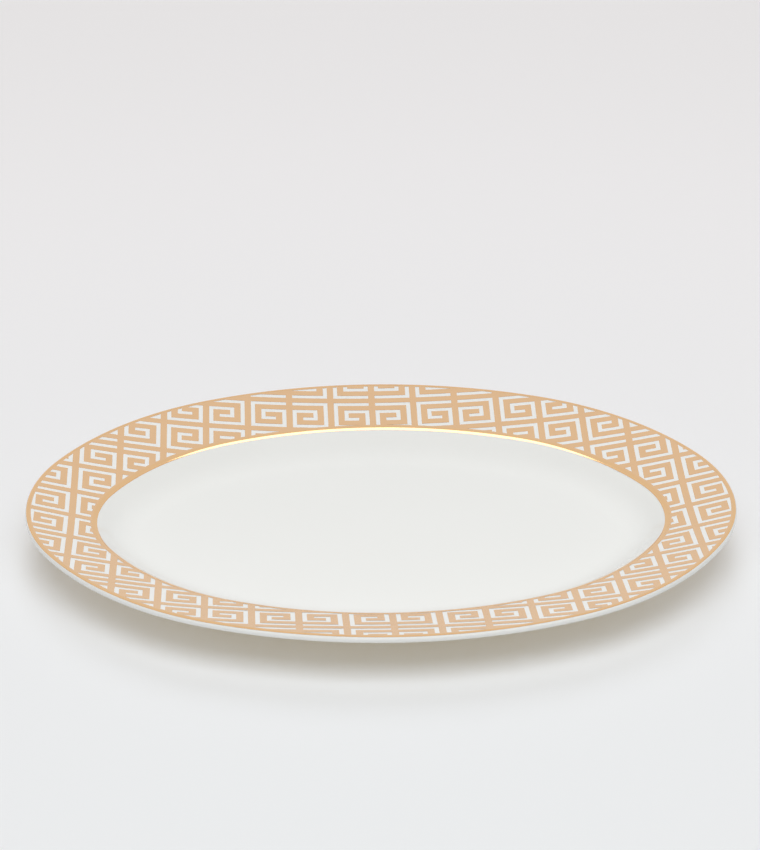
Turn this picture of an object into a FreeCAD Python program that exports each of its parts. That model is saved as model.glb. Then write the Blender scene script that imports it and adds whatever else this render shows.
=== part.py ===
import FreeCAD, Part
import math
import os
import Sketcher

# Oval china serving platter with a gilded key-fret rim, in mm.
# Origin: centre of the plane the foot ring rests on. X runs along the length, Z is up.
# Every section is drawn on the XZ plane at the +X end and swept along the oval edge,
# so the rim keeps one width all round. An inset is a distance in from that edge.
# A rounding of the section is drawn as a few equal flats, so each swept face is a plain cone.

SIZES = [
    ("platter_length", 360.0),
    ("platter_width", 252.0),
    ("rim_height", 27.0),          # resting plane to the sharp top corner of the lip
    ("lip_thickness", 3.6),
    ("lip_round", 1.5),
    ("lip_under_round", 1.4),
    ("rim_slope", 14.5),           # degrees below level, towards the well
    ("shoulder_inset", 35.0),
    ("shoulder_round", 7.0),
    ("wall_slope", 40.0),          # degrees
    ("wall_thickness", 4.3),
    ("well_floor_height", 7.0),
    ("well_round", 25.0),
    ("floor_thickness", 4.5),
    ("floor_inset", 59.0),         # where the swept rim ends and the flat floor begins
    ("foot_join_height", 3.2),
    ("foot_taper", 0.8),
    ("foot_width", 3.0),
    ("gold_seat", 0.06),           # the film stands this far off the china
    ("gold_thickness", 0.2),
    ("edge_line_reach", 0.3),      # flat part of the gold line along the edge
    ("edge_line_turn", 45.0),      # degrees above level where that line stops on the lip
    ("verge_line_reach", 0.3),     # flat part of the gold line over the shoulder
    ("verge_line_turn", 21.0),     # degrees that line turns over the shoulder
    ("fret_margin", 0.7),
    ("key_module", 5.6),
    ("key_stroke", 2.2),
]
KEY_PATH = [(3, 3), (0, 3), (0, 0), (3, 0), (3, 2), (1, 2), (1, 1), (2, 1)]
# Pairs of tiles from the centre line out past the edge, along X and Y.
PAIRS_X = "ceil(platter_length / 2 / (8 * key_module))"
PAIRS_Y = "ceil(platter_width / 2 / (8 * key_module))"

V = FreeCAD.Vector
doc = FreeCAD.newDocument("serving_platter")
sheet = doc.addObject("Spreadsheet::Sheet", "Sizes")
for row, (word, number) in enumerate(SIZES, 1):
    sheet.set("A%d" % row, word)
    sheet.set("B%d" % row, str(number))
    sheet.setAlias("B%d" % row, word)
doc.recompute()


def size(words):
    """Put the sheet in front of every size name in an expression."""
    for word in sorted((w for w, n in SIZES), key=len, reverse=True):
        words = words.replace(word, "Sizes." + word)
    return words


def value(words):
    return float(sheet.evalExpression(size(words)))


def plane(body, role):
    return next(f for f in body.Origin.OriginFeatures if f.Role == role)


def new_body(label):
    body = doc.addObject("PartDesign::Body", label)
    body.Label = label
    return body


def new_sketch(body, name, role):
    sketch = body.newObject("Sketcher::SketchObject", name)
    sketch.AttachmentSupport = [(plane(body, role), "")]
    sketch.MapMode = "FlatFace"
    return sketch


def bind(sketch, constraint, words):
    index = sketch.addConstraint(constraint)
    sketch.setExpression("Constraints[%d]" % index, size(words))


def place(sketch, geo, pos, x, y):
    """Hold a point at x, y from the sketch origin; both are expressions."""
    bind(sketch, Sketcher.Constraint("DistanceX", -1, 1, geo, pos, value(x)), x)
    bind(sketch, Sketcher.Constraint("DistanceY", -1, 1, geo, pos, value(y)), y)


def nearest_end(sketch, geo, spot):
    return min((1, 2), key=lambda pos: (sketch.getPoint(geo, pos) - spot).Length)


def add_flats(sketch, arc, near, far, count):
    """Chords of equal length along a construction arc, from its near end to its far end."""
    centre, first, last = (sketch.getPoint(arc, pos) for pos in (3, near, far))
    arm = first - centre
    turn = math.atan2(arm.x * (last - centre).y - arm.y * (last - centre).x, arm.dot(last - centre))
    spots = [centre + FreeCAD.Rotation(V(0, 0, 1), math.degrees(turn) * k / count).multVec(arm)
             for k in range(count + 1)]
    flats = [sketch.addGeometry(Part.LineSegment(a, b), False) for a, b in zip(spots, spots[1:])]
    sketch.addConstraint(Sketcher.Constraint("Coincident", flats[0], 1, arc, near))
    sketch.addConstraint(Sketcher.Constraint("Coincident", flats[-1], 2, arc, far))
    for before, after in zip(flats, flats[1:]):
        sketch.addConstraint(Sketcher.Constraint("Coincident", before, 2, after, 1))
        sketch.addConstraint(Sketcher.Constraint("PointOnObject", after, 1, arc))
        sketch.addConstraint(Sketcher.Constraint("Equal", before, after))


def rounded_outline(sketch, corners):
    """Closed outline through corners (x, y, radius, flats); a corner with no radius stays sharp."""
    count = len(corners)
    spots = [V(value(x), value(y), 0) for x, y, r, flats in corners]
    cuts = []
    for i, (x, y, r, flats) in enumerate(corners):
        back = (spots[i - 1] - spots[i]).normalize()
        ahead = (spots[(i + 1) % count] - spots[i]).normalize()
        reach = value(r) / math.tan(back.getAngle(ahead) / 2) if r else 0
        cuts.append((spots[i] + back * reach, spots[i] + ahead * reach))
    lines = [sketch.addGeometry(Part.LineSegment(cuts[i][1], cuts[(i + 1) % count][0]), False)
             for i in range(count)]
    for i, (x, y, r, flats) in enumerate(corners):
        before, after = lines[i - 1], lines[i]
        if r is None:
            sketch.addConstraint(Sketcher.Constraint("Coincident", before, 2, after, 1))
            place(sketch, after, 1, x, y)
            continue
        first, last = cuts[i]
        middle = (first + last) / 2
        inward = (middle - spots[i]).normalize()
        centre = middle + inward * math.sqrt(value(r) ** 2 - (first - middle).Length ** 2)
        arc = sketch.addGeometry(Part.Arc(first, centre - inward * value(r), last), True)
        corner = sketch.addGeometry(Part.Point(spots[i]), True)
        near, far = nearest_end(sketch, arc, first), nearest_end(sketch, arc, last)
        for line, pos, end in ((before, 2, near), (after, 1, far)):
            sketch.addConstraint(Sketcher.Constraint("Tangent", line, pos, arc, end))
            sketch.addConstraint(Sketcher.Constraint("PointOnObject", corner, 1, line))
        place(sketch, corner, 1, x, y)
        bind(sketch, Sketcher.Constraint("Radius", arc, value(r)), r)
        add_flats(sketch, arc, near, far, flats)


def middle_centre(first, last, reach, rest):
    """Where a tangent arc between two others has its centre, reach from one and rest from the other."""
    span = (last - first).Length
    along = (reach ** 2 - rest ** 2 + span ** 2) / (2 * span)
    ahead = (last - first).normalize()
    return first + ahead * along + V(ahead.y, -ahead.x, 0) * math.sqrt(reach ** 2 - along ** 2)


def oval(sketch, inset="0", quarter=False):
    """The edge moved in by an inset: an eight-centred oval, or its quarter between +X and +Y."""
    radii = ["%s - (%s)" % (words, inset) for words in (END_RADIUS, MIDDLE_RADIUS, SIDE_RADIUS)]
    end, middle, side = (value(words) for words in radii)
    low, high = V(value(END_CENTRE), 0, 0), V(0, -value(SIDE_CENTRE), 0)
    between = middle_centre(low, high, middle - end, side - middle)
    turns = [math.atan2(-between.y, low.x - between.x), math.atan2(between.y - high.y, between.x)]
    arcs = [(0, low, end, 0, turns[0]), (1, between, middle, *turns),
            (2, high, side, turns[1], math.pi / 2)]
    if not quarter:
        half = math.pi
        arcs[2] = (2, high, side, turns[1], half - turns[1])
        arcs.append((1, V(-between.x, between.y, 0), middle, half - turns[1], half - turns[0]))
        arcs.append((0, -low, end, half - turns[0], half + turns[0]))
        arcs += [(kind, -centre, radius, start + half, stop + half)
                 for kind, centre, radius, start, stop in arcs[1:4]]
        arcs.append((0, low, end, 2 * half - turns[0], 2 * half))
    for kind, centre, radius, start, stop in arcs:
        circle = Part.Circle(centre, V(0, 0, 1), radius)
        sketch.addGeometry(Part.ArcOfCircle(circle, start, stop), False)
    for i in range(len(arcs) - 1):
        sketch.addConstraint(Sketcher.Constraint("Tangent", i, 2, i + 1, 1))
    for i, (kind, centre, radius, start, stop) in enumerate(arcs):
        bind(sketch, Sketcher.Constraint("Radius", i, radius), radii[kind])
        if kind == 0:
            words = END_CENTRE if centre.x > 0 else "-(%s)" % END_CENTRE
            place(sketch, i, 3, words, "0")
        elif kind == 2:
            words = SIDE_CENTRE if centre.y > 0 else "-(%s)" % SIDE_CENTRE
            place(sketch, i, 3, "0", words)
    sketch.addConstraint(Sketcher.Constraint("PointOnObject", 0, 1, -1))
    sketch.addConstraint(Sketcher.Constraint("PointOnObject", len(arcs) - 1, 2,
                                             -2 if quarter else -1))


def sweep(body, name, section, spine):
    pipe = body.newObject("PartDesign::AdditivePipe", name)
    pipe.Profile = (section, [""])
    pipe.Spine = (spine, ["Edge%d" % (i + 1) for i in range(spine.GeometryCount)])
    doc.recompute()
    return pipe


# The edge is struck from eight centres: its end and side arcs have the ellipse's own radii there.
END_RADIUS = "platter_width ^ 2 / platter_length / 2"
SIDE_RADIUS = "platter_length ^ 2 / platter_width / 2"
MIDDLE_RADIUS = "(platter_length + platter_width) / 4"
END_CENTRE = "platter_length / 2 - %s" % END_RADIUS
SIDE_CENTRE = "%s - platter_width / 2" % SIDE_RADIUS

# Places on the section, as expressions.
EDGE = "platter_length / 2"
TILT = "rim_slope * 1deg"
WALL = "wall_slope * 1deg"
LEAN = "(rim_slope + wall_slope) / 2 * 1deg"
BEND = "(wall_slope - rim_slope) / 2 * 1deg"
SHOULDER_Z = "(rim_height - shoulder_inset * tan(%s))" % TILT
WELL_INSET = "(shoulder_inset + (%s - well_floor_height) / tan(%s))" % (SHOULDER_Z, WALL)
UNDER_INSET = "(shoulder_inset - wall_thickness * sin(%s) / cos(%s))" % (LEAN, BEND)
UNDER_Z = "(%s - wall_thickness * cos(%s) / cos(%s))" % (SHOULDER_Z, LEAN, BEND)
JOIN_INSET = "(%s + (%s - foot_join_height) / tan(%s))" % (UNDER_INSET, UNDER_Z, WALL)
UNDERSIDE_Z = "(well_floor_height - floor_thickness)"
GOLD_TOP = "(gold_seat + gold_thickness)"
EDGE_LINE_INSET = "lip_round * (1 + sin(%s)) + edge_line_reach" % TILT
VERGE_LINE_INSET = ("shoulder_inset - shoulder_round * tan(%s) * cos(%s) - verge_line_reach"
                    % (BEND, TILT))
# Centre of the shoulder's rounding.
SHOULDER_X = "%s - shoulder_inset + shoulder_round * sin(%s) / cos(%s)" % (EDGE, LEAN, BEND)
SHOULDER_CENTRE_Z = "%s - shoulder_round * cos(%s) / cos(%s)" % (SHOULDER_Z, LEAN, BEND)


def at_inset(words):
    return "%s - (%s)" % (EDGE, words)


def build_platter():
    body = new_body("platter_body")
    spine = new_sketch(body, "edge_oval", "XY_Plane")
    oval(spine)
    section = new_sketch(body, "rim_section", "XZ_Plane")
    foot_out = JOIN_INSET + " + foot_taper"
    foot_in = foot_out + " + foot_width"
    rounded_outline(section, [
        (EDGE, "rim_height", "lip_round", 3),
        (at_inset("shoulder_inset"), SHOULDER_Z, "shoulder_round", 3),
        (at_inset(WELL_INSET), "well_floor_height", "well_round", 5),
        (at_inset("floor_inset"), "well_floor_height", None, 0),
        (at_inset("floor_inset"), UNDERSIDE_Z, None, 0),
        (at_inset(foot_in + " + foot_taper"), UNDERSIDE_Z, None, 0),
        (at_inset(foot_in), "0", None, 0),
        (at_inset(foot_out), "0", None, 0),
        (at_inset(JOIN_INSET), "foot_join_height", None, 0),
        (at_inset(UNDER_INSET), UNDER_Z, "shoulder_round + wall_thickness", 3),
        (EDGE, "rim_height - lip_thickness", "lip_under_round", 3),
    ])
    doc.recompute()
    sweep(body, "swept_rim", section, spine)

    disc = new_sketch(body, "floor_oval", "XY_Plane")
    disc.setExpression("AttachmentOffset.Base.z", size(UNDERSIDE_Z))
    oval(disc, "floor_inset")
    doc.recompute()
    floor = body.newObject("PartDesign::Pad", "well_floor")
    floor.Profile = disc
    floor.setExpression("Length", size("floor_thickness"))
    doc.recompute()
    return body


def film_outline(sketch, centre_x, centre_z, radius, stub_x, end_turn):
    """Gold film section: a flat stub along the rim, then a turn to end_turn degrees from +X."""
    tops = []
    for gap in ("gold_seat", GOLD_TOP):
        reach = "(%s + %s)" % (radius, gap)
        foot = ("%s - %s * sin(%s)" % (centre_x, reach, TILT),
                "%s + %s * cos(%s)" % (centre_z, reach, TILT))
        stub = ("%s - (%s) * sin(%s)" % (stub_x, gap, TILT),
                "(%s) + (%s) * cos(%s)" % ("rim_height - (%s - (%s)) * tan(%s)" % (EDGE, stub_x, TILT),
                                         gap, TILT))
        end = ("%s + %s * cos((%s) * 1deg)" % (centre_x, reach, end_turn),
               "%s + %s * sin((%s) * 1deg)" % (centre_z, reach, end_turn))
        tops.append((reach, foot, stub, end))
    ends = []
    for reach, foot, stub, end in tops:
        a, b, c = (V(value(x), value(z), 0) for x, z in (stub, foot, end))
        centre = V(value(centre_x), value(centre_z), 0)
        outward = ((b + c) / 2 - centre).normalize()
        line = sketch.addGeometry(Part.LineSegment(a, b), False)
        arc = sketch.addGeometry(Part.Arc(b, centre + outward * value(reach), c), True)
        near, far = nearest_end(sketch, arc, b), nearest_end(sketch, arc, c)
        sketch.addConstraint(Sketcher.Constraint("Tangent", line, 2, arc, near))
        place(sketch, line, 1, *stub)
        place(sketch, arc, 3, centre_x, centre_z)
        bind(sketch, Sketcher.Constraint("DistanceX", -1, 1, arc, far, value(end[0])), end[0])
        add_flats(sketch, arc, near, far, 2)
        ends.append((line, arc, far))
    (line_a, arc_a, far_a), (line_b, arc_b, far_b) = ends
    for first, pos_a, second, pos_b in ((line_a, 1, line_b, 1), (arc_a, far_a, arc_b, far_b)):
        close = sketch.addGeometry(Part.LineSegment(sketch.getPoint(first, pos_a),
                                                    sketch.getPoint(second, pos_b)), False)
        sketch.addConstraint(Sketcher.Constraint("Coincident", close, 1, first, pos_a))
        sketch.addConstraint(Sketcher.Constraint("Coincident", close, 2, second, pos_b))


def build_gilding(label, *shape):
    body = new_body(label)
    spine = new_sketch(body, label + "_oval", "XY_Plane")
    oval(spine)
    section = new_sketch(body, label + "_section", "XZ_Plane")
    film_outline(section, *shape)
    doc.recompute()
    sweep(body, label + "_line", section, spine)
    return body


def key_outline():
    """Corners of one key as (column, row, side_x, side_y) round the stroke."""
    steps = [(b[0] - a[0], b[1] - a[1]) for a, b in zip(KEY_PATH, KEY_PATH[1:])]
    steps = [(max(-1, min(1, dx)), max(-1, min(1, dy))) for dx, dy in steps]
    left, right = [], []
    for k, (col, row) in enumerate(KEY_PATH):
        into = steps[k - 1] if k else steps[0]
        out = steps[k] if k < len(steps) else steps[-1]
        if k in (0, len(KEY_PATH) - 1):
            cap = -1 if k == 0 else 1
            along = (into[0] * cap, into[1] * cap)
            left.append((col, row, along[0] - into[1], along[1] + into[0]))
            right.append((col, row, along[0] + into[1], along[1] - into[0]))
        else:
            left.append((col, row, -into[1] - out[1], into[0] + out[0]))
            right.append((col, row, into[1] + out[1], -into[0] - out[0]))
    return left + right[::-1]


def key_sketch(body):
    sketch = new_sketch(body, "key", "XY_Plane")
    corners = [("(%s * 8 - 4 + %d + 0.5) * key_module + (%d) * key_stroke / 2" % (PAIRS_X, col, side_x),
                "(%d + 0.5) * key_module + (%d) * key_stroke / 2" % (row, side_y))
               for col, row, side_x, side_y in key_outline()]
    spots = [V(value(x), value(y), 0) for x, y in corners]
    count = len(corners)
    lines = [sketch.addGeometry(Part.LineSegment(spots[i], spots[(i + 1) % count]), False)
             for i in range(count)]
    for i, (x, y) in enumerate(corners):
        here, after = lines[i], lines[(i + 1) % count]
        sketch.addConstraint(Sketcher.Constraint("Coincident", here, 2, after, 1))
        level = abs(spots[i].y - spots[(i + 1) % count].y) < 1e-6
        sketch.addConstraint(Sketcher.Constraint("Horizontal" if level else "Vertical", here))
        kind, words = ("DistanceY", y) if level else ("DistanceX", x)
        bind(sketch, Sketcher.Constraint(kind, -1, 1, here, 1, value(words)), words)
    return sketch


def build_keys():
    """Key-shaped columns on every tile that can meet the quarter of the rim."""
    body = new_body("key_columns")
    key = key_sketch(body)
    doc.recompute()
    pad = body.newObject("PartDesign::Pad", "key_column")
    pad.Profile = key
    pad.setExpression("Length", size("rim_height * 1.5"))
    doc.recompute()
    steps = []
    for name, role, distance in (("tile_side_x", "YZ_Plane", "(%s * 8 - 4) * key_module" % PAIRS_X),
                                 ("tile_side_y", "XZ_Plane", "-4 * key_module")):
        datum = body.newObject("PartDesign::Plane", name)
        datum.AttachmentSupport = [(plane(body, role), "")]
        datum.MapMode = "FlatFace"
        datum.setExpression("AttachmentOffset.Base.z", size(distance))
        mirror = body.newObject("PartDesign::Mirrored", name + "_mirror")
        mirror.MirrorPlane = (datum, [""])
        steps.append(mirror)
    for role, pairs in (("X_Axis", PAIRS_X), ("Y_Axis", PAIRS_Y)):
        row = body.newObject("PartDesign::LinearPattern", "repeat_" + role[0].lower())
        row.Direction = (plane(body, role), [""])
        row.Reversed = role == "X_Axis"
        row.setExpression("Occurrences", size(pairs))
        row.setExpression("Length", size("8 * key_module * (%s - 1)" % pairs))
        steps.append(row)
    pattern = body.newObject("PartDesign::MultiTransform", "key_pattern")
    pattern.Originals = [pad]
    pattern.Transformations = steps
    body.Tip = pattern
    doc.recompute()
    return body


def quarter_sweep(label, corners):
    """Body with a four-cornered section swept along the quarter of the edge."""
    body = new_body(label)
    spine = new_sketch(body, label + "_oval", "XY_Plane")
    oval(spine, quarter=True)
    section = new_sketch(body, label + "_section", "XZ_Plane")
    rounded_outline(section, [(x, z, None, 0) for x, z in corners])
    doc.recompute()
    sweep(body, label + "_sweep", section, spine)
    return body


def part_boolean(kind, label, base, tool):
    result = doc.addObject("Part::" + kind, label)
    result.Base, result.Tool = base, tool
    result.Refine = False
    result.Label = label
    doc.recompute()
    return result


def build_transfer(label):
    """One quarter of the fret: a film on the rim with the keys left open, so the china shows."""
    film = [("%s - %s * sin(%s)" % (at_inset(inset), gap, TILT),
             "rim_height - (%s) * tan(%s) + %s * cos(%s)" % (inset, TILT, gap, TILT))
            for inset, gap in ((EDGE_LINE_INSET, "gold_seat"), (VERGE_LINE_INSET, "gold_seat"),
                               (VERGE_LINE_INSET, GOLD_TOP), (EDGE_LINE_INSET, GOLD_TOP))]
    field = [(at_inset(inset), z)
             for inset, z in ((EDGE_LINE_INSET + " + fret_margin", "0"),
                              (VERGE_LINE_INSET + " - fret_margin", "0"),
                              (VERGE_LINE_INSET + " - fret_margin", "rim_height * 1.5"),
                              (EDGE_LINE_INSET + " + fret_margin", "rim_height * 1.5"))]
    openings = part_boolean("Common", "key_openings", quarter_sweep("fret_field", field), build_keys())
    return part_boolean("Cut", label, quarter_sweep("gold_film", film), openings)


def mirrored(label, source, normal):
    copy = doc.addObject("Part::Mirroring", label)
    copy.Source = source
    copy.Normal = normal
    copy.Label = label
    return copy


def export(node):
    wrong = [word for word in ("Invalid", "Error") if word in node.State]
    if wrong or node.Shape.isNull() or not node.Shape.isValid():
        raise RuntimeError("%s did not build: %s" % (node.Label, node.State))
    node.Shape.exportStep("parts/%s.step" % node.Label)


nodes = [
    build_platter(),
    build_gilding("edge_gilding", EDGE + " - lip_round",
                  "rim_height - lip_round * (tan(%s) + 1 / cos(%s))" % (TILT, TILT), "lip_round",
                  at_inset(EDGE_LINE_INSET), "edge_line_turn"),
    build_gilding("verge_gilding", SHOULDER_X, SHOULDER_CENTRE_Z, "shoulder_round",
                  at_inset(VERGE_LINE_INSET), "90 + rim_slope + verge_line_turn"),
]
right_back = build_transfer("fret_transfer_right_back")
left_back = mirrored("fret_transfer_left_back", right_back, V(1, 0, 0))
nodes += [right_back, left_back,
          mirrored("fret_transfer_right_front", right_back, V(0, 1, 0)),
          mirrored("fret_transfer_left_front", left_back, V(0, 1, 0))]
doc.recompute()

os.makedirs("parts", exist_ok=True)
for node in nodes:
    export(node)
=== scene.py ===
import math

import bmesh
import bpy
import numpy as np
from mathutils import Matrix, Vector


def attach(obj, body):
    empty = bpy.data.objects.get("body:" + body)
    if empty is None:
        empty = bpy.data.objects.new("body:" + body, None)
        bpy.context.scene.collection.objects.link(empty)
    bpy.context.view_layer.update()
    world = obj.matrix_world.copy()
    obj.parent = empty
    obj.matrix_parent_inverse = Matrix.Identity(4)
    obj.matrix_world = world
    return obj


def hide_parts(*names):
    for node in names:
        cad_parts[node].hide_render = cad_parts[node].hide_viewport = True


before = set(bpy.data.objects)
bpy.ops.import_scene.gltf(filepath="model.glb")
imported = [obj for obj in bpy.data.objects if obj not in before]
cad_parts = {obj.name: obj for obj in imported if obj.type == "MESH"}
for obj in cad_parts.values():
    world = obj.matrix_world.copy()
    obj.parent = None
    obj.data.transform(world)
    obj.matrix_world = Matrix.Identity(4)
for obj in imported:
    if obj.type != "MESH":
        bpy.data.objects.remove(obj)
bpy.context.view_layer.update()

MM = 0.001

# Sizes of the platter, in mm, as the solids have them. An inset is measured in from the edge.
HALF_LENGTH, HALF_WIDTH = 180.0, 126.0
RIM_HEIGHT = 27.0
LIP_THICKNESS, LIP_ROUND, LIP_UNDER_ROUND = 3.6, 1.5, 1.4
RIM_SLOPE, WALL_SLOPE = math.radians(14.5), math.radians(40.0)
SHOULDER_INSET, SHOULDER_ROUND = 35.0, 7.0
WALL_THICKNESS = 4.3
WELL_HEIGHT, WELL_ROUND = 7.0, 25.0
UNDERSIDE = 2.5
FLOOR_INSET = 59.0
JOIN_HEIGHT, JOIN_ROUND = 3.2, 0.9
FOOT_TAPER, FOOT_WIDTH, FOOT_ROUND = 0.8, 3.0, 0.35
LINE_REACH = 0.3                      # flat part of either gold line
EDGE_LINE_TURN, VERGE_LINE_TURN = math.radians(45.0), math.radians(21.0)

# Heights of the gold over the china, in mm: its underside and its top.
LINE_LIFT, LINE_TOP = 0.05, 0.12
FRET_LIFT, FRET_TOP = 0.05, 0.1

# How finely the forms are divided.
BODY_COUNT, LINE_COUNT = 96, 160      # steps along a quarter of the edge
ROUND_STEP, LONGEST_STEP = math.radians(3.0), 3.0
LINE_STEPS = 24                       # across the turned part of a gold line
FLOOR_RINGS = 13                      # from the floor's outline to its middle

# Colours of the platter.
CHINA_COLOURS = (0.885, 0.89, 0.868), (0.877, 0.882, 0.857)
BARE_COLOURS = (0.82, 0.8, 0.75), (0.72, 0.7, 0.65)
BURNISHED_COLOUR, PRINTED_COLOUR = (0.87, 0.56, 0.3), (0.87, 0.575, 0.34)

# Light, in metres, watts for the two panels, and degrees for the distant lamps.
SURROUND, FILL_LIGHT = (0.845, 0.85, 0.85), (0.3, 0.3, 0.3)
STRIP_SPOT, STRIP_SIZE, STRIP_POWER = (0.0, 0.12, 1.5), (1.3, 0.75), 6.0
FRONT_SPOT, FRONT_SIZE, FRONT_POWER = (0.0, -0.36, 0.66), (0.8, 0.5), 2.1
OVERHEAD_LEAN, OVERHEAD_WIDTH, OVERHEAD_POWER = 18.0, 46.0, 0.8
BACK_LEAN, BACK_WIDTH, BACK_POWER = -42.0, 30.0, 0.55

# The table that the platter stands on.
TABLE_HALF = 6.0
PAPER_COLOUR = (0.705, 0.755, 0.82)
NEAR_GLOW, FAR_GLOW = (0.105, 0.069, 0.011), (0.265, 0.213, 0.168)
GLOW_REACH = 0.9

# Camera. Lengths with PX are in pixels of the picture.
CAMERA_ELEVATION, CAMERA_DISTANCE = math.radians(30.5), 1.4
CAMERA_ROLL, CAMERA_TURN = math.radians(0.78), math.radians(-3.34)
PICTURE_WIDTH_PX, PICTURE_HEIGHT_PX = 760.0, 850.0
FOCAL_PX = 2762.0
MIDDLE_X_PX, MIDDLE_Y_PX = 382.3, 499.9      # where the middle of the rim lies
SENSOR_MM = 36.0


def rounded(corners):
    """Points (inset, height) of an open outline. A corner is (inset, height, rounding)."""
    out = [corners[0][:2]]
    for before, here, after in zip(corners, corners[1:], corners[2:]):
        spot = np.array(here[:2], float)
        back = np.array(before[:2], float) - spot
        ahead = np.array(after[:2], float) - spot
        back, ahead = back / np.linalg.norm(back), ahead / np.linalg.norm(ahead)
        half = math.acos(float(np.clip(back @ ahead, -1, 1))) / 2
        reach = here[2] / math.tan(half)
        axis = (back + ahead) / np.linalg.norm(back + ahead)
        centre = spot + axis * here[2] / math.sin(half)
        first, last = spot + back * reach - centre, spot + ahead * reach - centre
        turn = math.atan2(first[0] * last[1] - first[1] * last[0], float(first @ last))
        count = max(4, int(abs(turn) / ROUND_STEP))
        for k in range(count + 1):
            a = turn * k / count
            out.append((centre[0] + first[0] * math.cos(a) - first[1] * math.sin(a),
                        centre[1] + first[0] * math.sin(a) + first[1] * math.cos(a)))
    out.append(corners[-1][:2])
    return np.array(out)


def split_long(line):
    """The same line, with points added so that no step of it is long."""
    out = [line[0]]
    for a, b in zip(line, line[1:]):
        count = max(1, int(math.ceil(np.linalg.norm(b - a) / LONGEST_STEP)))
        out += [a + (b - a) * k / count for k in range(1, count + 1)]
    return np.array(out)


def line_normals(line):
    """Normals of a profile that runs with its outside on the right of (inset, height)."""
    step = np.diff(line, axis=0)
    step /= np.linalg.norm(step, axis=1)[:, None]
    mean = np.vstack([step, step[-1:]]) + np.vstack([step[:1], step])
    mean /= np.linalg.norm(mean, axis=1)[:, None]
    return np.stack([mean[:, 1], -mean[:, 0]], 1)


def edge_arcs():
    """The eight-centred edge of one quarter as (centre, radius, start, stop)."""
    end, side = HALF_WIDTH ** 2 / HALF_LENGTH, HALF_LENGTH ** 2 / HALF_WIDTH
    middle = (HALF_LENGTH + HALF_WIDTH) / 2
    low, high = np.array([HALF_LENGTH - end, 0.0]), np.array([0.0, HALF_WIDTH - side])
    span = np.linalg.norm(high - low)
    ahead = (high - low) / span
    across = np.array([ahead[1], -ahead[0]])
    reach, rest = middle - end, side - middle
    along = (reach ** 2 - rest ** 2 + span ** 2) / (2 * span)
    between = low + ahead * along + across * math.sqrt(reach ** 2 - along ** 2)
    first = math.atan2(*(low - between)[::-1])
    second = math.atan2(*(between - high)[::-1])
    return [(low, end, 0.0, first), (between, middle, first, second),
            (high, side, second, math.pi / 2)]


def whole_oval(quarter):
    """A quarter that runs from one axis to the other, mirrored into all four."""
    half = np.vstack([quarter, quarter[-2:0:-1] * (-1, 1)])
    return np.vstack([half, -half])


def edge_frame(quarter_count):
    """Points on the oval edge and the directions straight in from it."""
    arcs = edge_arcs()
    lengths = [radius * (stop - start) for centre, radius, start, stop in arcs]
    spots, inward = [], []
    for (centre, radius, start, stop), length in zip(arcs, lengths):
        count = round(quarter_count * length / sum(lengths))
        turn = start + (stop - start) * np.arange(count) / count
        out = np.stack([np.cos(turn), np.sin(turn)], 1)
        spots.append(centre + out * radius)
        inward.append(-out)
    spots.append([[0.0, HALF_WIDTH]])
    inward.append([[0.0, -1.0]])
    return whole_oval(np.vstack(spots)), whole_oval(np.vstack(inward))


def edge_inset(points):
    """How far in from the edge each point is, and which way is straight in there."""
    flat = np.abs(points)
    inset = np.full(len(points), np.nan)
    inward = np.zeros((len(points), 2))
    for centre, radius, start, stop in edge_arcs():
        arm = flat - centre
        turn = np.arctan2(arm[:, 1], arm[:, 0])
        far = np.linalg.norm(arm, axis=1)
        mine = (turn >= start - 1e-6) & (turn <= stop + 1e-6) & np.isnan(inset)
        inset[mine] = (radius - far)[mine]
        inward[mine] = (-arm / far[:, None])[mine]
    return inset, inward * np.where(points < 0, -1, 1)


def slope_drop(inset):
    """Height of the rim's slope at an inset."""
    return RIM_HEIGHT - inset * math.tan(RIM_SLOPE)


def shoulder_offset(gap):
    """The shoulder corner moved out of the china by a gap."""
    lean, bend = (RIM_SLOPE + WALL_SLOPE) / 2, (WALL_SLOPE - RIM_SLOPE) / 2
    reach = gap / math.cos(bend)
    return (SHOULDER_INSET + reach * math.sin(lean),
            slope_drop(SHOULDER_INSET) + reach * math.cos(lean))


def new_object(name, verts, faces, normals, materials, kinds):
    """Smooth object; normals has one for each vertex, kinds one material for each face."""
    mesh = bpy.data.meshes.new(name)
    mesh.from_pydata((np.asarray(verts) * MM).tolist(), [], faces)
    for material in materials:
        mesh.materials.append(material)
    mesh.polygons.foreach_set("use_smooth", [True] * len(faces))
    mesh.polygons.foreach_set("material_index", kinds)
    mesh.normals_split_custom_set_from_vertices([tuple(n) for n in normals])
    obj = bpy.data.objects.new(name, mesh)
    bpy.context.scene.collection.objects.link(obj)
    return obj


def sweep(lines, normals, closed, quarter_count):
    """Vertices, normals and faces of a profile carried round the edge; faces point outward.
    lines holds one profile for the whole edge, or one for each point of it."""
    spots, inward = edge_frame(quarter_count)
    count, rows = len(spots), lines.shape[1]
    verts, norms = np.empty((count, rows, 3)), np.empty((count, rows, 3))
    verts[:, :, :2] = spots[:, None] + inward[:, None] * lines[:, :, :1]
    verts[:, :, 2] = lines[:, :, 1]
    norms[:, :, :2] = inward[:, None] * normals[:, :, :1]
    norms[:, :, 2] = normals[:, :, 1]
    faces = []
    for i in range(count):
        j = (i + 1) % count
        for k in range(rows if closed else rows - 1):
            m = (k + 1) % rows
            faces.append((i * rows + m, j * rows + m, j * rows + k, i * rows + k))
    return verts.reshape(-1, 3), norms.reshape(-1, 3), faces


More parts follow.
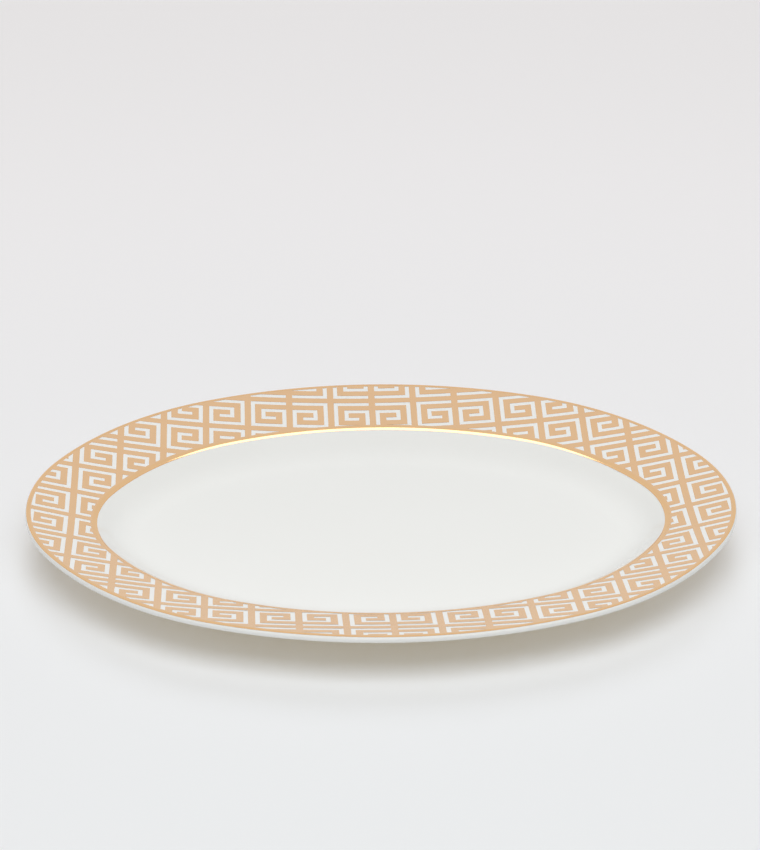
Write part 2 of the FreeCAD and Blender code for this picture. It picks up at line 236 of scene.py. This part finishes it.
def material(name, colour, roughness, **more):
    """Principled material; more holds other sockets by name."""
    mat = bpy.data.materials.new(name)
    mat.use_nodes = True
    shader = mat.node_tree.nodes["Principled BSDF"]
    shader.inputs["Base Color"].default_value = (*colour, 1.0)
    shader.inputs["Roughness"].default_value = roughness
    for key, number in more.items():
        shader.inputs[key].default_value = number
    return mat, shader


def noise(mat, scale, detail=2.0):
    """Noise over the object's own coordinates, in features per metre."""
    nodes, links = mat.node_tree.nodes, mat.node_tree.links
    place = nodes.new("ShaderNodeTexCoord")
    tex = nodes.new("ShaderNodeTexNoise")
    tex.inputs["Scale"].default_value = scale
    tex.inputs["Detail"].default_value = detail
    links.new(place.outputs["Object"], tex.inputs["Vector"])
    return tex.outputs["Fac"]


def spread(mat, fac, low, high):
    """Map the middle of a noise's range to the range low to high."""
    node = mat.node_tree.nodes.new("ShaderNodeMapRange")
    for key, number in (("From Min", 0.3), ("From Max", 0.7), ("To Min", low), ("To Max", high)):
        node.inputs[key].default_value = number
    mat.node_tree.links.new(fac, node.inputs["Value"])
    return node.outputs["Result"]


def blend(tree, fac, first, second):
    """A colour that goes from the first to the second as fac goes from 0 to 1."""
    mix = tree.nodes.new("ShaderNodeMix")
    mix.data_type = "RGBA"
    mix.inputs[6].default_value = (*first, 1.0)
    mix.inputs[7].default_value = (*second, 1.0)
    tree.links.new(fac, mix.inputs[0])
    return mix.outputs[2]


def tint(mat, shader, scale, detail, first, second):
    """Base colour that wanders between two near colours."""
    fac = spread(mat, noise(mat, scale, detail), 0.0, 1.0)
    mat.node_tree.links.new(blend(mat.node_tree, fac, first, second), shader.inputs["Base Color"])


def bump(mat, shader, fac, depth):
    """Relief of a depth in metres."""
    node = mat.node_tree.nodes.new("ShaderNodeBump")
    node.inputs["Strength"].default_value = 1.0
    node.inputs["Distance"].default_value = depth
    mat.node_tree.links.new(fac, node.inputs["Height"])
    mat.node_tree.links.new(node.outputs["Normal"], shader.inputs["Normal"])


def glazed_china():
    """White bone china under a clear glaze that lies in slow, shallow waves."""
    mat, shader = material("glazed_china", CHINA_COLOURS[0], 0.07, IOR=1.5)
    tint(mat, shader, 9.0, 2.0, *CHINA_COLOURS)
    bump(mat, shader, noise(mat, 55.0, 1.0), 0.00006)
    mat.node_tree.links.new(spread(mat, noise(mat, 30.0), 0.05, 0.1), shader.inputs["Roughness"])
    return mat


def bare_china():
    """Ground, unglazed foot: matt, with a fine grain and a trace of grey."""
    mat, shader = material("bare_china", BARE_COLOURS[0], 0.75)
    tint(mat, shader, 260.0, 4.0, *BARE_COLOURS)
    bump(mat, shader, noise(mat, 2500.0, 3.0), 0.00004)
    return mat


def gold(name, colour, low, high, grain):
    """Pale gold film: colour and gloss wander a little, with a fine grain."""
    mat, shader = material(name, colour, (low + high) / 2, Metallic=1.0)
    tint(mat, shader, 70.0, 3.0, colour, tuple(c * 0.97 for c in colour))
    gloss = spread(mat, noise(mat, 320.0, 3.0), low, high)
    mat.node_tree.links.new(gloss, shader.inputs["Roughness"])
    bump(mat, shader, noise(mat, grain), 0.000002)
    return mat


CHINA, BARE = glazed_china(), bare_china()
BURNISHED = gold("burnished_gold", BURNISHED_COLOUR, 0.08, 0.14, 900.0)
PRINTED = gold("printed_gold", PRINTED_COLOUR, 0.16, 0.22, 1800.0)
STRIP_LIT = bpy.data.collections.new("strip_lit")     # what the strip lamp lights


def body_outline():
    """The china's section from the floor's edge, over the lip and foot, to the underside."""
    wall = math.tan(WALL_SLOPE)
    well = SHOULDER_INSET + (slope_drop(SHOULDER_INSET) - WELL_HEIGHT) / wall
    under_inset, under_height = shoulder_offset(-WALL_THICKNESS)
    join = under_inset + (under_height - JOIN_HEIGHT) / wall
    foot_out = join + FOOT_TAPER
    foot_in = foot_out + FOOT_WIDTH
    corners = [
        (FLOOR_INSET, WELL_HEIGHT), (well, WELL_HEIGHT, WELL_ROUND),
        (*shoulder_offset(0.0), SHOULDER_ROUND), (0.0, RIM_HEIGHT, LIP_ROUND),
        (0.0, RIM_HEIGHT - LIP_THICKNESS, LIP_UNDER_ROUND),
        (under_inset, under_height, SHOULDER_ROUND + WALL_THICKNESS),
        (join, JOIN_HEIGHT, JOIN_ROUND),
        (foot_out, 0.0, FOOT_ROUND), (foot_in, 0.0, FOOT_ROUND),
        (foot_in + FOOT_TAPER, UNDERSIDE, JOIN_ROUND), (FLOOR_INSET, UNDERSIDE),
    ]
    return split_long(rounded(corners))


def close_disc(verts, norms, faces, edge, up):
    """Close a flat outline with rings that shrink to one point; up is the way it faces."""
    height = verts[edge[0]][2]
    outer = edge
    for ring in range(1, FLOOR_RINGS):
        share = 1 - ring / FLOOR_RINGS
        inner = list(range(len(verts), len(verts) + len(edge)))
        verts += [[verts[k][0] * share, verts[k][1] * share, height] for k in edge]
        for i in range(len(edge)):
            j = (i + 1) % len(edge)
            quad = (outer[i], outer[j], inner[j], inner[i])
            faces.append(quad if up > 0 else quad[::-1])
        outer = inner
    middle = len(verts)
    verts.append([0, 0, height])
    norms += [[0, 0, up]] * (middle + 1 - len(norms))
    for i, here in enumerate(outer):
        after = outer[(i + 1) % len(outer)]
        faces.append((here, after, middle) if up > 0 else (after, here, middle))


def build_body():
    line = body_outline()
    swept = sweep(line[None], line_normals(line)[None], False, BODY_COUNT)
    verts, norms, faces = swept[0].tolist(), swept[1].tolist(), swept[2]
    rows, count = len(line), len(verts)
    ground = [int(max(a[1], b[1]) < 0.001) for a, b in zip(line, line[1:])]
    kinds = ground * (count // rows)
    for first, up in ((0, 1.0), (rows - 1, -1.0)):
        close_disc(verts, norms, faces, list(range(first, count, rows)), up)
    kinds += [0] * (len(faces) - len(kinds))
    body = new_object("platter_china", verts, faces, norms, [CHINA, BARE], kinds)
    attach(body, "root")
    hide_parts("platter_body")


def gold_line(name, node, centre, radius, outward, stops):
    """A painted line: a flat part on the rim, then a turn over a rounding of the china.
    The brush stops at a slightly different turn at each point of the edge."""
    start = math.pi / 2 + RIM_SLOPE
    turns = start + (np.asarray(stops)[:, None] - start) * np.linspace(0, 1, LINE_STEPS)[None]
    round_out = np.stack([-np.cos(turns), np.sin(turns)], 2)
    up = np.array([math.sin(RIM_SLOPE), math.cos(RIM_SLOPE)])
    along = np.array([math.cos(RIM_SLOPE), -math.sin(RIM_SLOPE)]) * (1 if outward else -1)
    chains = []
    for gap in (LINE_LIFT, LINE_TOP):
        first = np.array(centre) + (radius + gap) * up
        flat = [first + along * LINE_REACH / math.cos(RIM_SLOPE) * share for share in (1, 0.5)]
        flat = np.broadcast_to(np.array(flat), (len(turns), 2, 2))
        chains.append(np.concatenate([flat, np.array(centre) + (radius + gap) * round_out], 1))
    low, high = chains
    lines = np.concatenate([high, low[:, ::-1]], 1)
    top = np.concatenate([np.broadcast_to(up, (len(turns), 2, 2)), round_out], 1)
    normals = np.concatenate([top, -top[:, ::-1]], 1)
    if not outward:
        lines, normals = lines[:, ::-1], normals[:, ::-1]
    verts, norms, faces = sweep(lines, normals, True, LINE_COUNT)
    obj = new_object(name, verts, faces, norms, [BURNISHED], [0] * len(faces))
    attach(obj, "root")
    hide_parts(node)
    return obj


def brush_stops(middle, swing):
    """Where the brush stops round the edge: slow waves that close on themselves."""
    spots, inward = edge_frame(LINE_COUNT)
    around = np.arctan2(spots[:, 1] / HALF_WIDTH, spots[:, 0] / HALF_LENGTH)
    wave = 0.5 * np.sin(2 * around + 0.9) + 0.3 * np.sin(5 * around) + 0.2 * np.sin(9 * around + 2.0)
    return middle + swing * wave


def build_lines():
    drop = LIP_ROUND * (math.tan(RIM_SLOPE) + 1 / math.cos(RIM_SLOPE))
    gold_line("edge_gold_line", "edge_gilding", (LIP_ROUND, RIM_HEIGHT - drop), LIP_ROUND, True,
              brush_stops(EDGE_LINE_TURN + math.radians(10), math.radians(-9)))
    stop = math.pi / 2 + RIM_SLOPE + VERGE_LINE_TURN
    verge = gold_line("verge_gold_line", "verge_gilding", shoulder_offset(-SHOULDER_ROUND),
                      SHOULDER_ROUND, False, brush_stops(stop - math.radians(1), math.radians(1)))
    STRIP_LIT.objects.link(verge)


def thinned_film(source, name):
    """A copy of a fret film, brought down to a print's thickness over the china. It comes with
    the rim's own normal at each of its vertices."""
    mesh = bpy.data.meshes.new(name)
    work = bmesh.new()
    work.from_mesh(source)
    bmesh.ops.remove_doubles(work, verts=work.verts, dist=1e-6)
    work.to_mesh(mesh)
    work.free()
    spots = np.array([v.co for v in mesh.vertices]) / MM
    inset, inward = edge_inset(spots[:, :2])
    gap = (spots[:, 2] - slope_drop(inset)) * math.cos(RIM_SLOPE)
    middle = (gap.min() + gap.max()) / 2
    moved = np.where(gap > middle, FRET_TOP, FRET_LIFT) - gap
    spots[:, :2] += inward * (moved * math.sin(RIM_SLOPE))[:, None]
    spots[:, 2] += moved * math.cos(RIM_SLOPE)
    for vertex, spot in zip(mesh.vertices, spots):
        vertex.co = spot * MM
    up = np.full(len(inward), math.cos(RIM_SLOPE))
    return mesh, np.column_stack([inward * math.sin(RIM_SLOPE), up])


def build_transfer(node):
    """A quarter of the fret, with smooth faces along the rim and sharp sides."""
    mesh, rim = thinned_film(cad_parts[node].data, node + "_print")
    mesh.polygons.foreach_set("use_smooth", [True] * len(mesh.polygons))
    mesh.update()
    corners = [None] * len(mesh.loops)
    for face in mesh.polygons:
        facing = face.normal.dot(Vector(rim[mesh.loops[face.loop_start].vertex_index]))
        for loop in face.loop_indices:
            own = rim[mesh.loops[loop].vertex_index] * (1 if facing > 0 else -1)
            corners[loop] = tuple(own) if abs(facing) > 0.7 else tuple(face.normal)
    mesh.normals_split_custom_set(corners)
    mesh.materials.clear()
    mesh.materials.append(PRINTED)
    obj = bpy.data.objects.new(node + "_print", mesh)
    bpy.context.scene.collection.objects.link(obj)
    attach(obj, "root")
    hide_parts(node)


def studio_paper():
    """Pale paper. A faint warm glow keeps the shadows on it from going grey, and changes with
    the distance from the front lamp, so that the table stays pale all over."""
    paper, shader = material("studio_paper", PAPER_COLOUR, 0.9)
    tree = paper.node_tree
    place = tree.nodes.new("ShaderNodeTexCoord")
    far = tree.nodes.new("ShaderNodeVectorMath")
    far.operation = "DISTANCE"
    far.inputs[1].default_value = (*FRONT_SPOT[:2], 0)
    tree.links.new(place.outputs["Object"], far.inputs[0])
    reach = tree.nodes.new("ShaderNodeMapRange")
    reach.interpolation_type = "SMOOTHSTEP"
    reach.inputs["From Max"].default_value = GLOW_REACH
    tree.links.new(far.outputs["Value"], reach.inputs["Value"])
    glow = blend(tree, reach.outputs["Result"], NEAR_GLOW, FAR_GLOW)
    tree.links.new(glow, shader.inputs["Emission Color"])
    shader.inputs["Emission Strength"].default_value = 1.0
    return paper


def build_stage():
    """The table top that the platter stands on."""
    mesh = bpy.data.meshes.new("studio_table")
    half = TABLE_HALF
    mesh.from_pydata([(-half, -half, 0), (half, -half, 0), (half, half, 0), (-half, half, 0)],
                     [], [(0, 1, 2, 3)])
    mesh.materials.append(studio_paper())
    obj = bpy.data.objects.new("studio_table", mesh)
    bpy.context.scene.collection.objects.link(obj)


def panel_lamp(name, spot, size, power):
    """A rectangular lamp that faces the middle of the table."""
    lamp = bpy.data.lights.new(name, "AREA")
    lamp.shape, lamp.size, lamp.size_y = "RECTANGLE", *size
    lamp.energy = power
    obj = bpy.data.objects.new(name, lamp)
    obj.location = spot
    obj.rotation_euler = (-Vector(spot)).to_track_quat("-Z", "Y").to_euler()
    bpy.context.scene.collection.objects.link(obj)
    return obj


def distant_lamp(name, lean, width, power):
    """A far, wide lamp that leans from overhead towards the camera, in degrees; metal never
    mirrors it."""
    lamp = bpy.data.lights.new(name, "SUN")
    lamp.energy, lamp.angle = power, math.radians(width)
    obj = bpy.data.objects.new(name, lamp)
    obj.rotation_euler = (math.radians(lean), 0, 0)
    obj.visible_glossy = False
    bpy.context.scene.collection.objects.link(obj)
    return lamp


def build_world():
    """An even white surround that camera, mirrored and transmitted rays see, and a softer fill
    for all other rays."""
    world = bpy.data.worlds.new("studio")
    world.use_nodes = True
    tree = world.node_tree
    path = tree.nodes.new("ShaderNodeLightPath")
    seen = path.outputs["Is Camera Ray"]
    for kind in ("Is Glossy Ray", "Is Transmission Ray"):
        either = tree.nodes.new("ShaderNodeMath")
        either.operation = "MAXIMUM"
        tree.links.new(seen, either.inputs[0])
        tree.links.new(path.outputs[kind], either.inputs[1])
        seen = either.outputs[0]
    colour = blend(tree, seen, FILL_LIGHT, SURROUND)
    tree.links.new(colour, tree.nodes["Background"].inputs["Color"])
    bpy.context.scene.world = world


def build_lamps():
    """Panels for the verge line's highlight and for the front, and two wide distant lamps. The
    one from behind casts no shadow, so the front of the table stays clear."""
    strip = panel_lamp("strip", STRIP_SPOT, STRIP_SIZE, STRIP_POWER)
    strip.light_linking.receiver_collection = STRIP_LIT
    front = panel_lamp("front", FRONT_SPOT, FRONT_SIZE, FRONT_POWER)
    front.visible_glossy = False
    distant_lamp("overhead", OVERHEAD_LEAN, OVERHEAD_WIDTH, OVERHEAD_POWER)
    back = distant_lamp("back", BACK_LEAN, BACK_WIDTH, BACK_POWER)
    back.cycles.cast_shadow = False


def build_camera():
    """The picture's camera: it stands off the middle of the rim, rolls a little, and points
    where that middle falls on its own pixel."""
    ahead = Vector((0, math.cos(CAMERA_ELEVATION), -math.sin(CAMERA_ELEVATION)))
    up = Vector((0, math.sin(CAMERA_ELEVATION), math.cos(CAMERA_ELEVATION)))
    around = Matrix.Rotation(CAMERA_TURN, 3, "Z")
    ahead, right, up = around @ ahead, around @ Vector((1, 0, 0)), around @ up
    cos_roll, sin_roll = math.cos(CAMERA_ROLL), math.sin(CAMERA_ROLL)
    right, up = right * cos_roll + up * sin_roll, up * cos_roll - right * sin_roll
    spot = Vector((0, 0, RIM_HEIGHT * MM)) - ahead * CAMERA_DISTANCE
    aim_x, aim_y = MIDDLE_X_PX - PICTURE_WIDTH_PX / 2, MIDDLE_Y_PX - PICTURE_HEIGHT_PX / 2
    ahead = (ahead * FOCAL_PX + up * aim_y - right * aim_x).normalized()
    right = (right - ahead * right.dot(ahead)).normalized()
    up = right.cross(ahead)
    lens = bpy.data.cameras.new("camera")
    lens.sensor_width = SENSOR_MM
    lens.lens = FOCAL_PX / PICTURE_HEIGHT_PX * SENSOR_MM
    lens.clip_end = 50.0
    camera = bpy.data.objects.new("camera", lens)
    pose = Matrix((right, up, -ahead)).transposed().to_4x4()
    pose.translation = spot
    camera.matrix_world = pose
    bpy.context.scene.collection.objects.link(camera)
    bpy.context.scene.camera = camera


bpy.context.scene.view_settings.view_transform = "Standard"
build_body()
build_lines()
for quarter in ("right_back", "left_back", "right_front", "left_front"):
    build_transfer("fret_transfer_" + quarter)
build_stage()
build_world()
build_lamps()
build_camera()
